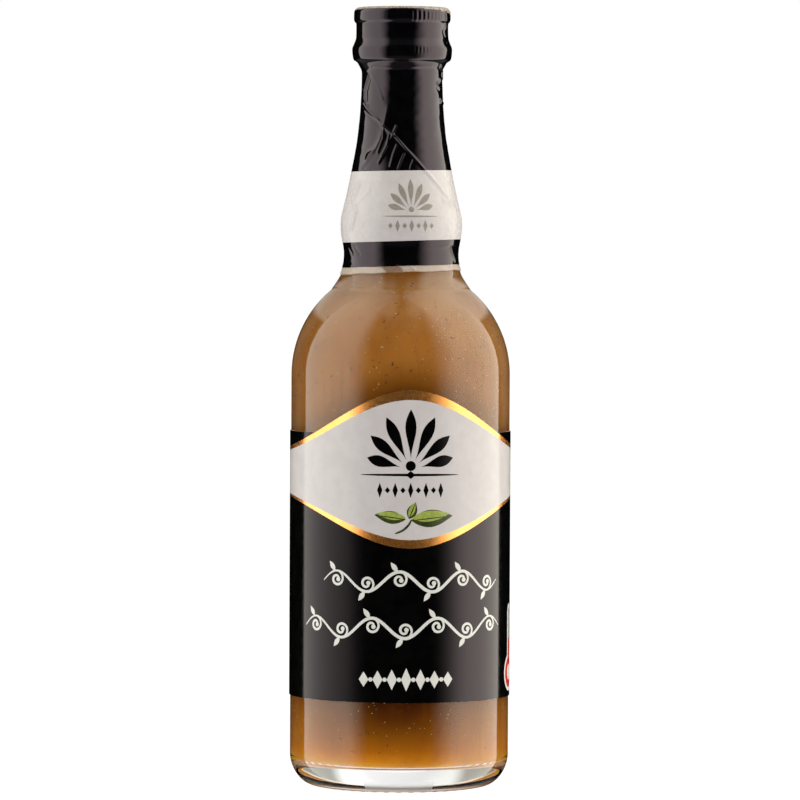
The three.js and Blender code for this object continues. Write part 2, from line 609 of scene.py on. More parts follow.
def colour_stops(tree, height, stops):
    """A colour that follows the height through its stops."""
    node = add(tree, "ShaderNodeValToRGB", {0: ramp(tree, height, 0, STOPS_TOP * MM, curve="LINEAR")})
    elements = node.color_ramp.elements
    elements.remove(elements[1])
    for i, (place, colour) in enumerate(stops):
        element = elements[0] if i == 0 else elements.new(0.5)
        element.position = place / STOPS_TOP
        element.color = rgba(colour)
    return node.outputs[0]


def sauce_colour(tree):
    height = parts_of(tree, add(tree, "ShaderNodeTexCoord").outputs["Object"])["Z"]
    shade = add(tree, "ShaderNodeAttribute", attribute_name="shade").outputs["Fac"]
    edge = add(tree, "ShaderNodeAttribute", attribute_name="edge").outputs["Fac"]
    # Painted light and shade: the lit colour is mixed towards the shaded one by the painted shade mark.
    lit = colour_stops(tree, height, LIT_SAUCE)
    colour = mixed(tree, shade, lit, colour_stops(tree, height, SHADED_SAUCE))
    # Painted reflection: the sides seen edge on are tinted paler and greyer.
    colour = mixed(tree, edge, colour, rgba(PAINTED_HAZE_SAUCE))
    clouds = ramp(tree, noise(tree, 110.0, 5.0, (1, 1, 0.6)), 0.35, 0.75, 0.0, 0.36)
    streaks = ramp(tree, noise(tree, 700.0, 3.0, (1, 1, 0.035)), 0.5, 0.8, 0.0, 0.26)
    grit = ramp(tree, noise(tree, 1500.0, 2.0), 0.6, 0.75, 0.0, 0.25)
    for share in (clouds, streaks, grit):
        colour = mixed(tree, share, colour, rgba(BROWN_SAUCE))
    return colour


def hot_sauce():
    """A cloudy liquid that scatters light, under a mirror where it meets the glass."""
    made = material("hot_sauce")
    tree = made.node_tree
    surface = add(tree, "ShaderNodeBsdfPrincipled", {
        "Base Color": sauce_colour(tree),
        "Roughness": 0.6,
        "Specular IOR Level": 0.0,
        "Subsurface Weight": 1.0,
        "Subsurface Radius": (1.0, 0.45, 0.15),
        "Subsurface Scale": 6 * MM,
    })
    mirror = add(tree, "ShaderNodeBsdfGlossy", {"Color": rgba((1, 1, 1)), "Roughness": 0.0})
    share = add(tree, "ShaderNodeFresnel", {"IOR": LIQUID_AGAINST_GLASS})
    layers = {0: share.outputs[0], 1: surface.outputs[0], 2: mirror.outputs[0]}
    both = add(tree, "ShaderNodeMixShader", layers)
    add(tree, "ShaderNodeOutputMaterial", {"Surface": both.outputs[0]})
    return made


def shade_sauce(mesh):
    """Marks where less light gets in, for painted shade: beside the label, and most of all at the front.
    Also marks the two sides seen edge on, for a painted haze.
    """
    places = places_of(mesh)
    angle = np.arctan2(places[:, 0], -places[:, 1])
    z = places[:, 2]
    above = np.clip((z - label_top(angle * BODY_RADIUS)) / SHADE_ABOVE, 0, 1)
    below = np.clip((LABEL_BOTTOM - z) / SHADE_BELOW, 0, 1)
    upper = z > SHADE_MIDDLE_Z
    near = np.where(upper, 1 - above, 1 - below)
    front = np.cos(angle) ** 4
    shade = near * near * (3 - 2 * near) * np.where(upper, 0.6 + 0.4 * front, 0.25 + 0.75 * front)
    # Painted reflection: the sides seen edge on get a paler haze, less of it low down.
    to_side = np.interp(np.degrees(np.abs(angle)), [62, 76, 100, 120], [0, 1, 1, 0])
    edge = to_side * np.interp(z, [16, 30], [0.25, 0.8])
    for name, values in (("shade", shade), ("edge", edge)):
        attribute = mesh.attributes.new(name, "FLOAT", "POINT")
        attribute.data.foreach_set("value", values.astype(np.float32))


def scattering_tree():
    """Strews small uneven grains over a surface, lying flat on it."""
    tree, given = new_tree("scattering", {
        "Surface": "Geometry",
        "Grains a square metre": "Float",
        "Smallest": "Vector",
        "Largest": "Vector",
        "Seed": "Int",
        "Finish": "Material",
    }, "Grains")
    spread = add(tree, "GeometryNodeDistributePointsOnFaces", {
        "Mesh": given["Surface"],
        "Density": given["Grains a square metre"],
        "Seed": given["Seed"],
    })
    ball = add(tree, "GeometryNodeMeshIcoSphere", {"Radius": 1.0, "Subdivisions": 1})
    grain = add(tree, "GeometryNodeSetShadeSmooth", {"Geometry": ball.outputs["Mesh"]})
    sizes = {0: given["Smallest"], 1: given["Largest"], "Seed": given["Seed"]}
    size = add(tree, "FunctionNodeRandomValue", sizes, data_type="FLOAT_VECTOR")
    spin = add(tree, "FunctionNodeRandomValue", {3: 2 * math.pi}, data_type="FLOAT")
    turn = add(tree, "ShaderNodeCombineXYZ", {"Z": spin.outputs[1]})
    turns = {0: spread.outputs["Rotation"], 1: turn.outputs[0]}
    laid = add(tree, "FunctionNodeRotateRotation", turns, rotation_space="LOCAL")
    strewn = add(tree, "GeometryNodeInstanceOnPoints", {
        "Points": spread.outputs["Points"],
        "Instance": grain.outputs[0],
        "Rotation": laid.outputs[0],
        "Scale": size.outputs[0],
    })
    end_tree(tree, strewn.outputs[0], given["Finish"])
    return tree


SCATTERING = scattering_tree()


def specks(name, surface, look, per_square_metre, smallest, largest, seed):
    """Grains on the side of the sauce, above the part that is seen through the base."""
    values = {
        "Grains a square metre": per_square_metre,
        "Smallest": tuple(v * MM for v in smallest),
        "Largest": tuple(v * MM for v in largest),
        "Seed": seed,
        "Finish": look,
    }
    side = bmesh.new()
    side.from_mesh(surface.data)
    hidden = [face for face in side.faces if face.calc_center_median().z < SPECKS_FROM_Z * MM]
    bmesh.ops.delete(side, geom=hidden, context="FACES")
    bare = bpy.data.meshes.new("speck_ground")
    side.to_mesh(bare)
    side.free()
    return made_by(SCATTERING, name, bare, values)


def sauce():
    """The sauce as one body up to its level, with the specks that show on its side."""
    wetted = [p for p in moved(bottle_inside(), -SAUCE_OVERLAP) if p[1] < FILL_Z - 0.5]
    wetted[0] = (0, wetted[0][1])
    radii, heights = zip(*INNER_NECK)
    fill_radius = np.interp(FILL_Z, heights, radii) + SAUCE_OVERLAP
    line = refined(wetted + [(fill_radius, FILL_Z), (0, FILL_Z)], 0.8)
    body = turned("hot_sauce_fill", line, SAUCE_SIDES, hot_sauce(), front_packing=FRONT_PACKING)
    shade_sauce(body.data)
    keep(body, "sauce", "sauce")
    brown = finish("pepper_flecks", ((0.11, 0.035, 0.010), (0.20, 0.07, 0.018)), (0.4, 0.6), patch=2000)
    yellow = finish("pepper_seeds", ((0.85, 0.60, 0.24), (0.95, 0.78, 0.42)), (0.4, 0.6), patch=2000)
    keep(specks("sauce_flecks", body, brown, *FLECKS), "sauce")
    keep(specks("sauce_seeds", body, yellow, *SEEDS), "sauce")


# Cap

# Where the metal's lower edge stands, a little above the first point of the cap's outline
CAP_EDGE = (9, 139.3)


def screw_cap():
    """A metal shell with a shallow dish in its top."""
    outside = [CAP_EDGE, *CAP[1:]]
    inside = [p for p in moved(outside, CAP_METAL) if p[1] < MOUTH_Z]
    inside[0] = (inside[0][0], CAP_EDGE[1])
    inner_rim = inside[-1][0]
    top_z = outside[-1][1]
    dish_z = top_z - CAP_DISH
    section = [
        (0, top_z - CAP_METAL),
        (inner_rim, top_z - CAP_METAL),
        *inside[::-1],
        *outside,
        (CAP_TOP_RADIUS, top_z),
        (CAP_TOP_RADIUS - CAP_DISH, dish_z),
        (5.0, dish_z),
        (0, dish_z),
    ]
    lacquer = finish("cap_lacquer", ((0.006, 0.006, 0.007), (0.010, 0.010, 0.011)), (0.22, 0.32), bump=0.01)
    keep(turned("screw_cap_metal", section, CAP_SIDES, lacquer), "black_cap", "screw_cap")


# Sleeve

# The cap's ribs and its ring of teeth, pressed through the film: how many, how deep and how high up
CAP_RIBS = 64
RIB_DEPTH = 0.11
RIB_HEIGHTS = [146.4, 147.2, 148.3, 148.6]
RING_TEETH = 80
TOOTH_DEPTH = 0.035
TOOTH_HEIGHTS = [140.2, 140.7, 141.4, 141.9]

# The pale tan rim comes down lowest at the right: its lower edge by the angle in degrees
RIM_ANGLES = [10, 60, 85, 180]
RIM_BOTTOMS = [149.1, 148.7, 148.0, 149.1]

# The hem is nearly see-through at a leaning stretch of the front; elsewhere its film is paler and covers
# more, partly a painted reflection of the side lights. The stretch's angle, middle height, lean and half
# width.
SEE_THROUGH_ANGLE = math.radians(7.5)
SEE_THROUGH_Z = 99.3
SEE_THROUGH_LEAN = 0.12
SEE_THROUGH_HALF_WIDTH = math.radians(9.5)

# The sleeve's finishes, in the order of its slots
BLACK_FILM, WHITE_BAND, CLEAR_HEM, PALE_RIM, SEE_THROUGH_HEM = range(5)


def film_outline():
    """The film's outer line over the neck and the cap, up to the corner of the cap's top."""
    neck = [p for p in spline(NECK, 6) if p[1] > HEM_Z - 0.6]
    side = spline(neck[:-1:3] + [neck[-1]] + CAP[:-1], 6)
    points = np.array(moved(side, -FILM_GAP - FILM))
    return points[np.argsort(points[:, 1])]


FILM_LINE = film_outline()


def film_radius(z):
    return np.interp(z, FILM_LINE[:, 1], FILM_LINE[:, 0])


def film_rows():
    """The heights of the film's points, closest where it is folded or ribbed."""
    spans = [
        (HEM_Z, CLEAR_HEM_TOP, 5),
        (CLEAR_HEM_TOP, BAND_BOTTOM, 20),
        (BAND_BOTTOM, BAND_TOP, 40),
        (BAND_TOP, UNDER_CAP_Z, 122),
        (UNDER_CAP_Z, CORNER_Z, 48),
    ]
    rows = [z for low, high, count in spans for z in np.linspace(low, high, count, endpoint=False)]
    return rows + [CORNER_Z]


def film_section(rows):
    """Up the outer face, over the lap on the cap's top and down the inner face."""
    outer = [(float(film_radius(z)), z) for z in rows]
    rounding = FILM_TOP - CORNER_Z
    corner_r = outer[-1][0] - rounding
    corner = arc(rounding, CORNER_Z, 0, math.pi / 2, 7, corner_r)[1:]
    lap = between(corner[-1], (LAP_RADIUS, FILM_TOP), 6)[1:]
    underside = FILM_TOP - FILM
    lap_edge = [(LAP_RADIUS - 0.05, FILM_TOP - FILM / 2), (LAP_RADIUS, underside)]
    inner_rows = sorted({HEM_Z, CLEAR_HEM_TOP, BAND_BOTTOM, BAND_TOP, *rows[::8], CORNER_Z}, reverse=True)
    inner = [(float(film_radius(z)) - FILM, z) for z in inner_rows]
    return [*outer, *corner, *lap, *lap_edge, (corner_r, underside), *inner, outer[0]]


def pressed_ribs(rows, count):
    """The relief of the ribs round the cap's top and of the teeth on its lower ring."""
    ribs = RIB_DEPTH * np.interp(rows, RIB_HEIGHTS, [0, 1, 1, 0.6])
    teeth = TOOTH_DEPTH * np.interp(rows, TOOTH_HEIGHTS, [0, 1, 1, 0])
    relief = np.zeros((count, 3))
    relief[: len(rows), 0] = ribs + teeth
    relief[: len(rows), 2] = np.where(ribs > 0, CAP_RIBS, np.where(teeth > 0, RING_TEETH, 0))
    return relief


def part_film(mesh):
    """Gives each face of the sleeve its finish, by its angle and height."""
    centres = np.zeros(len(mesh.polygons) * 3)
    mesh.polygons.foreach_get("center", centres)
    centres = centres.reshape(-1, 3) / MM
    angle = np.arctan2(centres[:, 0], -centres[:, 1])
    z = centres[:, 2]
    rim_bottom = np.interp(np.degrees(angle), RIM_ANGLES, RIM_BOTTOMS)
    # The see-through stretch; the rest of the hem gets the paler film, which partly paints the side lights'
    # reflection.
    thin = np.abs(angle + SEE_THROUGH_ANGLE + SEE_THROUGH_LEAN * (z - SEE_THROUGH_Z)) < SEE_THROUGH_HALF_WIDTH
    index = np.where((z > BAND_BOTTOM) & (z < BAND_TOP), WHITE_BAND, BLACK_FILM)
    index = np.where(z < CLEAR_HEM_TOP, np.where(thin, SEE_THROUGH_HEM, CLEAR_HEM), index)
    index[z > rim_bottom] = PALE_RIM
    mesh.polygons.foreach_set("material_index", index)


# The film's folds: each is a line of angle in degrees and height,
# with its half width and how far it stands out.
FOLDS = [
    (
        [(-68, 131.0), (-34, 127.8), (-7, 124.4), (6, 122.1), (27, 118.3), (41, 115.8), (59, 111.9)],
        0.15,
        0.24,
    ),
    ([(-66, 130.1), (-36, 127.0), (-20, 125.2)], 0.16, -0.07),
    ([(-24, 126.0), (-25, 123.6), (-35, 120.9), (-49, 118.5)], 0.3, -0.08),
    ([(-24, 126.8), (-24, 124.2), (-30, 121.6)], 0.16, 0.14),
    ([(-7, 126.6), (-13, 124.4), (-22, 121.5), (-28, 119.6)], 0.17, 0.17),
    ([(-16, 124.9), (-19, 122.8), (-24, 120.9)], 0.14, 0.14),
    ([(-6, 123.0), (-10, 121.2), (-13, 119.0)], 0.15, 0.15),
    ([(3, 121.3), (-1, 119.9), (-4, 118.4)], 0.15, 0.14),
    ([(12, 120.2), (9, 119.2), (8, 118.4)], 0.14, 0.11),
    ([(-57, 136.3), (-67, 133.6), (-66, 131.9), (-55, 130.4)], 0.2, 0.2),
    ([(-52, 135.7), (-60, 133.3), (-58, 131.2)], 0.22, -0.08),
    ([(-50, 136.6), (-38, 134.7), (-29, 131.8)], 0.2, 0.05),
    ([(66, 138.0), (80, 137.2), (80, 135.9), (62, 134.8)], 0.25, 0.28),
    ([(60, 134.1), (73, 132.8)], 0.3, -0.08),
    ([(70, 131.6), (80, 131.1)], 0.25, 0.26),
    ([(-34, 114.5), (-50, 112.1)], 0.26, -0.1),
    ([(-36, 114.2), (-52, 111.7)], 0.22, 0.2),
    ([(-52, 115.6), (-58, 112.4), (-50, 110.4), (-54, 107.2)], 0.3, 0.22),
    ([(48, 112.8), (66, 110.7)], 0.26, 0.16),
    ([(-68, 104.3), (-58, 102.2)], 0.2, -0.09),
    ([(-54, 103.8), (-46, 102.1)], 0.2, -0.09),
    ([(17, 103.7), (35, 103.3), (55, 103.9)], 0.17, 0.12),
    ([(58, 103.6), (63, 102.2), (69, 100.9)], 0.18, 0.16),
    ([(-8, 138.3), (2, 137.9), (7, 137.5)], 0.22, -0.08),
    ([(-45, 138.0), (-20, 137.7), (10, 137.8), (45, 138.1)], 0.14, 0.08),
    ([(64, 148.1), (70, 145.6)], 0.3, 0.18),
    ([(63, 144.6), (69, 142.9)], 0.25, -0.08),
    ([(-3, 99.9), (-2, 99.3), (1, 98.7)], 0.16, 0.24),
    ([(-10, 99.5), (-5, 99.0), (-3, 98.6)], 0.14, 0.18),
    ([(10, 99.7), (13, 99.3)], 0.14, 0.2),
    ([(-58, 99.9), (-52, 98.8)], 0.14, 0.2),
    ([(54, 99.8), (56, 98.9)], 0.12, 0.16),
    ([(61, 99.9), (62, 98.9)], 0.12, 0.16),
]
FOLD_REACH = 14

# A broad fold: its crest, how far it stands out, and how far it falls away on its two sides
BROAD_FOLD = (
    [(-20, 131.0), (-24, 127.3), (-28, 124.1), (-33, 122.4), (-43, 121.0), (-49, 118.6)],
    0.4,
    1.4,
    3.4,
)

# How uneven the film is at each height, where the full amount is 1
UNEVEN_HEIGHTS = [98, 101, 104, 118, 121, 137, 139, 143, 149]
UNEVENNESS = [0.8, 0.8, 0.25, 0.2, 1, 1, 0.7, 0.5, 0.4]
FINE_RIPPLE = 0.008
BROAD_RIPPLE = 0.02
DEEPEST_DENT = -0.1

# The hem waves up and down round the neck, on about this radius.
HEM_RADIUS = 11


def distance_to_line(x, z, line):
    """The distance from each point to a line of straight stretches."""
    best = np.full(len(x), np.inf)
    for (x0, z0), (x1, z1) in zip(line[:-1], line[1:]):
        across, up = x1 - x0, z1 - z0
        share = np.clip(((x - x0) * across + (z - z0) * up) / (across**2 + up**2), 0, 1)
        best = np.minimum(best, np.hypot(x - x0 - share * across, z - z0 - share * up))
    return best


def ripples(x, z, sizes, waves, seed):
    """Smooth unevenness of about one unit: waves that run all ways, with lengths between two sizes."""
    draw = np.random.default_rng(seed)
    total = np.zeros(len(x))
    for _ in range(waves):
        heading = draw.uniform(0, math.pi)
        length = draw.uniform(*sizes)
        along = x * math.cos(heading) + z * math.sin(heading)
        total += np.sin(2 * math.pi * along / length + draw.uniform(0, 2 * math.pi))
    return total / math.sqrt(waves)


def unrolled(line):
    """A line of angles in degrees, with the angles as distances round the film."""
    return [(math.radians(a) * float(film_radius(h)), h) for a, h in line]


def film_relief(angle, z):
    """How far the film stands out at arrays of angle and height."""
    x = angle * film_radius(z)
    out = np.zeros(len(x))
    for line, half_width, height in FOLDS:
        near = np.abs(z - np.mean([p[1] for p in line])) < FOLD_REACH
        reach = distance_to_line(x[near], z[near], unrolled(line))
        out[near] += height * np.exp(-0.5 * (reach / half_width) ** 2)
    crest, height, left, right = BROAD_FOLD
    crest = unrolled(crest)
    side = np.interp(z, [h for _, h in crest[::-1]], [c for c, _ in crest[::-1]])
    fall = np.where(x < side, left, right)
    fade = np.interp(z, [118.5, 121.5, 125, 131], [0, 1, 1, 0])
    out += height * np.clip(1 - distance_to_line(x, z, crest) / fall, 0, 1) ** 2 * fade
    uneven = np.interp(z, UNEVEN_HEIGHTS, UNEVENNESS)
    out += FINE_RIPPLE * uneven * ripples(x, z, (1.6, 4.0), 14, 5)
    out += BROAD_RIPPLE * uneven * ripples(x, z, (5.0, 11.0), 8, 6)
    return np.maximum(out, DEEPEST_DENT)


def print_tilt(angle, z):
    """How far the print was pulled up as the film shrank."""
    return np.interp(z, [99, 105, 118, 130], [0.27, 0.38, 0.18, 0]) * np.sin(angle)


def fold_film(mesh):
    """Tilts the print as it shrank, then raises the folds and ripples on the outer face."""
    places = places_of(mesh)
    angle = np.arctan2(places[:, 0], -places[:, 1])
    radius = np.hypot(places[:, 0], places[:, 1])
    z = places[:, 2]
    wall = z < CORNER_Z + 0.01
    outer = (radius > film_radius(z) - FILM / 3) & wall
    relief = np.where(outer, radius - film_radius(z), 0)
    uneven = 0.1 * ripples(angle * HEM_RADIUS, z * 0, (3.0, 9.0), 6, 8) + 0.18 * np.sin(angle) - 0.08
    hem = np.interp(z, [HEM_Z, HEM_Z + 2], [1, 0]) * uneven
    lifted = np.where(wall, z + print_tilt(angle, z) + hem, z)
    shell = np.where(outer, 0, film_radius(z) - radius)
    new_radius = np.where(wall, film_radius(lifted) - shell + relief, radius)
    new_radius += np.where(outer, film_relief(angle, lifted), 0)
    places[:, 0] = new_radius * np.sin(angle)
    places[:, 1] = -new_radius * np.cos(angle)
    places[:, 2] = lifted
    mesh.vertices.foreach_set("co", (places * MM).astype(np.float32).ravel())
    mesh.update()


def shrink_sleeve():
    rows = film_rows()
    section = film_section(rows)
    film = finish("film_black", ((0.001, 0.001, 0.0015), (0.002, 0.002, 0.0025)), (0.05, 0.10),
                  Specular_IOR_Level=0.42, Specular_Tint=rgba((1.0, 0.81, 0.97)))
    piece = turned("shrink_sleeve_film", section, FILM_SIDES, film, pressed_ribs(rows, len(section)),
                   deepest_side=math.radians(25), evenness=0.03, front_packing=FRONT_PACKING)
    for look in (
        finish("film_white", WHITE_INK, (0.26, 0.29), **SOFT_GLOSS),
        # The hem's paler film is partly a painted reflection of the side lights; its see-through stretch
        # covers less.
        finish("film_clear", CLEAR_FILM, (0.2, 0.25), Alpha=0.5),
        finish("film_pale_rim", ((0.13, 0.10, 0.08), (0.42, 0.34, 0.27)), (0.35, 0.5), patch=3500),
        finish("film_clear_see_through", CLEAR_FILM, (0.1, 0.15), Alpha=0.12),
    ):
        piece.data.materials.append(look)
    part_film(piece.data)
    fold_film(piece.data)
    keep(piece, "black_film", "shrink_sleeve")


# Printed sheets


def facing_out(flat, triangle):
    """A triangle's corners, in the order that makes it face outwards."""
    a, b, c = triangle
    (ax, az), (bx, bz), (cx, cz) = flat[a], flat[b], flat[c]
    turn = (bx - ax) * (cz - az) - (bz - az) * (cx - ax)
    return (a, b, c) if turn > 0 else (a, c, b)


def cut_to_fields(fields, step_round, step_up):
    """The flat sheet's points, and its triangles with the number of the top field that each lies in."""
    points, faces, cuts = [], [], []
    for shape, _ in fields:
        faces.append(list(range(len(points), len(points) + len(shape))))
        points += shape
    (left, low), (right, high) = np.min(fields[0][0], axis=0), np.max(fields[0][0], axis=0)
    upright = np.arange(left + step_round, right - step_round / 2, step_round)
    ends = [((x, low - 1), (x, high + 1)) for x in upright]
    if step_up:
        level = np.arange(low + step_up, high - step_up / 2, step_up)
        ends += [((left - 1, z), (right + 1, z)) for z in level]
    for start, end in ends:
        cuts.append((len(points), len(points) + 1))
        points += [start, end]
    flat, _, cut, _, _, sources = delaunay_2d_cdt([Vector(p) for p in points], cuts, faces, 0, 1e-5)
    kept = [(tri, max(s)) for tri, s in zip(cut, sources) if 0 in s and fields[max(s)][1]]
    used = sorted({v for tri, _ in kept for v in tri})
    renumber = {v: i for i, v in enumerate(used)}
    flat = np.array([tuple(p) for p in flat])[used]
    return flat, [(facing_out(flat, [renumber[v] for v in tri]), source) for tri, source in kept]


def open_edges(triangles):
    """The edges that only one triangle has."""
    edges = {}
    for a, b, c in triangles:
        for start, end in ((a, b), (b, c), (c, a)):
            if (end, start) in edges:
                del edges[(end, start)]
            else:
                edges[(start, end)] = True
    return list(edges)


def printed_sheet(name, fields, inks, outer, inner, round_radius, step_round, step_up=None):
    """A thin closed sheet cut into its fields of colour and wrapped round the bottle.

    outer and inner give the radius at arrays of arc length and height. A field without an ink is left out,
    and the last ink is for the back and the edge as well.
    """
    flat, front = cut_to_fields(fields, step_round, step_up)
    x, z = flat[:, 0], flat[:, 1]
    count = len(flat)
    outwards = np.stack([np.sin(x / round_radius), -np.cos(x / round_radius), np.zeros(count)], axis=1)
    normals = outwards.copy()
    normals[:, 2] = -(outer(x, z + 0.1) - outer(x, z - 0.1)) / 0.2
    normals /= np.linalg.norm(normals, axis=1)[:, None]
    shells = []
    for radius in (outer, inner):
        shell = outwards * radius(x, z)[:, None]
        shell[:, 2] = z
        shells.append(shell)
    triangles = [triangle for triangle, _ in front]
    polygons = list(triangles)
    polygons += [(a + count, c + count, b + count) for a, b, c in triangles]
    polygons += [(b, a, a + count, b + count) for a, b in open_edges(triangles)]
    mesh = bpy.data.meshes.new(name)
    mesh.from_pydata([tuple(p) for p in np.vstack(shells) * MM], [], polygons)
    for look in inks.values():
        mesh.materials.append(look)
    names = list(inks)
    index = [names.index(fields[source][1]) for _, source in front]
    index += [len(names) - 1] * (len(polygons) - len(front))
    mesh.polygons.foreach_set("material_index", index)
    mesh.polygons.foreach_set("use_smooth", [True] * len(polygons))
    set_round_normals(mesh, normals, len(front))
    return show(name, mesh)


def set_round_normals(mesh, outwards, front_count):
    """The two large faces shade as round, and the rim as flat."""
    count = len(outwards)
    normals = []
    for polygon in mesh.polygons:
        for v in polygon.vertices:
            if polygon.index < front_count:
                normals.append(tuple(outwards[v]))
            elif polygon.index < 2 * front_count:
                normals.append(tuple(-outwards[v - count]))
            else:
                normals.append(tuple(polygon.normal))
    mesh.normals_split_custom_set(normals)


# Shapes of the print


def inked(shapes, ink):
    return [(shape, ink) for shape in shapes]


def lozenge(x, z, width, height):
    return [(x - width / 2, z), (x, z - height / 2), (x + width / 2, z), (x, z + height / 2)]


def disc(x, z, radius, sides=20):
    angles = np.arange(sides) * 2 * math.pi / sides
    return [(x + radius * math.cos(a), z + radius * math.sin(a)) for a in angles]


def stroke(line, width, taper=0.25):
    """A brush line: thin at both ends and full in the middle."""
    points = np.array(line, float)
    along = np.gradient(points, axis=0)
    along /= np.linalg.norm(along, axis=1)[:, None]
    normal = np.stack([-along[:, 1], along[:, 0]], axis=1)
    share = np.linspace(0, 1, len(points))
    half = width / 2 * (taper + (1 - taper) * np.sin(math.pi * share) ** 0.6)
    left, right = points + normal * half[:, None], points - normal * half[:, None]
    return [tuple(p) for p in right] + [tuple(p) for p in left[::-1]]


def leaf(x, z, length, width, turn, fullness=0.45):
    """A pointed leaf that grows from a point in a direction."""
    share = np.linspace(0, 1, 12)
    half = width / 2 * np.sin(math.pi * share ** (math.log(0.5) / math.log(fullness)))
    upper = np.stack([share * length, half], axis=1)
    lower = np.stack([share * length, -half], axis=1)[1:-1]
    points = np.vstack([upper[:1], lower, upper[::-1][:-1]])
    c, s = math.cos(turn), math.sin(turn)
    return [(x + c * a - s * b, z + s * a + c * b) for a, b in points]


def vine(start, end, z, waves, height, width):
    """A running scroll: a wavy stem with a curl inside each bend and a leaf outside it."""
    xs = np.linspace(start, end, 24 * waves)
    share = (xs - start) / (end - start)
    shapes = [stroke(list(zip(xs, z + height * np.sin(math.pi * waves * share))), width)]
    bend = (end - start) / waves
    curl = 0.8 * height
    t = np.linspace(0, 1, 30)
    turn = math.pi / 2 - t * math.radians(470)
    radius = curl * (1 - 0.78 * t)
    for i in range(waves):
        side = 1 if i % 2 == 0 else -1
        crest_x = start + bend * (i + 0.5)
        crest_z = z + side * height
        curl_x = crest_x + radius * np.cos(turn)
        curl_z = crest_z + side * (radius * np.sin(turn) - curl)
        line = np.stack([curl_x, curl_z], axis=1)
        shapes.append(stroke(line, width * 0.8, 0.5))
        shapes.append(disc(*line[-1], width * 0.7, 12))
        shapes.append(leaf(crest_x - 0.4, crest_z, 2.2, 0.95, side * math.radians(125)))
    return shapes


PALMETTE_LEAVES = 7
PALMETTE_SPREAD = math.radians(150)


def palmette(x, z, length, width, gap):
    """Narrow leaves that spread round one point, longest in the middle."""
    shapes = []
    for i in range(PALMETTE_LEAVES):
        lean = (i / (PALMETTE_LEAVES - 1) - 0.5) * PALMETTE_SPREAD
        reach = (length - gap) * (1 - 0.30 * (abs(lean) / (PALMETTE_SPREAD / 2)) ** 1.6)
        start_x, start_z = x + gap * math.sin(lean), z + gap * math.cos(lean)
        shapes.append(leaf(start_x, start_z, reach, width, math.pi / 2 - lean, 0.64))
    return shapes


def rule(start, end, z, width, steps):
    """A level line that is thin at both ends."""
    return stroke(np.stack([np.linspace(start, end, steps), np.full(steps, z)], axis=1), width, 0.1)


def lozenge_row(x, z, to_each_side, pitch, width, tall, low):
    """Lozenges on both sides of a middle one, tall and low by turns."""
    places = range(-to_each_side, to_each_side + 1)
    return [lozenge(x + i * pitch, z, width, low if i % 2 else tall) for i in places]


# Neck ornament, as far as it spreads along the band and up it
ORNAMENT_X = 1.9
ORNAMENT_REACH = 6.2
ORNAMENT_LOW = 105.9
ORNAMENT_HIGH = 116.6
ORNAMENT_GRID = 0.7
NECK_ROUND = 11.2


def band_print():
    """The grey ornament on the neck band: a palmette over a rule and a row of lozenges."""
    left, right = ORNAMENT_X - ORNAMENT_REACH, ORNAMENT_X + ORNAMENT_REACH
    ground = [(left, ORNAMENT_LOW), (right, ORNAMENT_LOW), (right, ORNAMENT_HIGH), (left, ORNAMENT_HIGH)]
    marks = [
        *palmette(ORNAMENT_X, 110.3, 6.2, 1.15, 1.1),
        disc(ORNAMENT_X, 110.7, 0.52, 20),
        rule(left + 0.9, right - 0.9, 109.4, 0.3, 24),
        *lozenge_row(ORNAMENT_X, 107.6, 3, 1.3, 0.85, 2.3, 1.1),
    ]
    return [(ground, None), *inked(marks, "grey")]


def neck_ornament():
    """The ornament lies on the film and follows its folds."""

    def face(lift):
        return lambda x, z: film_radius(z) + film_relief(x / NECK_ROUND, z) + lift

    grey = finish("ink_neck_grey", ((0.26, 0.23, 0.205), (0.30, 0.265, 0.24)), (0.2, 0.3), patch=1500,
                  **SOFT_GLOSS)
    piece = printed_sheet("neck_ornament", band_print(), {"grey": grey}, face(0.025), face(-0.03),
                          NECK_ROUND, ORNAMENT_GRID, ORNAMENT_GRID)
    keep(piece, "black_film")


# Label

# The lines of its panel: the height at the sides, the rise at the middle, and how wide the rise is
GOLD_TOP = (64.8, 11.75, 13.0)
WHITE_TOP = (64.1, 10.65, 13.0)
WHITE_BOTTOM = (56.6, -8.3, 12.8)
GOLD_BOTTOM = (56.2, -9.5, 12.8)
SEAM_X = (math.pi - SEAM_HALF_ANGLE) * BODY_RADIUS
LABEL_GRID = math.radians(2.5) * BODY_RADIUS


def eye_line(x, side_z, rise, spread):
    """A level line with a smooth hill or dip at the middle of the panel."""
    return side_z + rise * np.exp(-0.5 * ((np.asarray(x) - EYE_ANGLE * BODY_RADIUS) / spread) ** 2)


def label_top(xs):
    return np.maximum(LABEL_TOP, eye_line(xs, *GOLD_TOP))


def along_label():
    return np.linspace(-SEAM_X, SEAM_X, 260)


def band_shape(bottom, top):
    xs = along_label()
    return list(zip(xs, eye_line(xs, *bottom))) + list(zip(xs, eye_line(xs, *top)))[::-1]


def label_shape():
    xs = along_label()
    return [(-SEAM_X, LABEL_BOTTOM), (SEAM_X, LABEL_BOTTOM), *list(zip(xs, label_top(xs)))[::-1]]


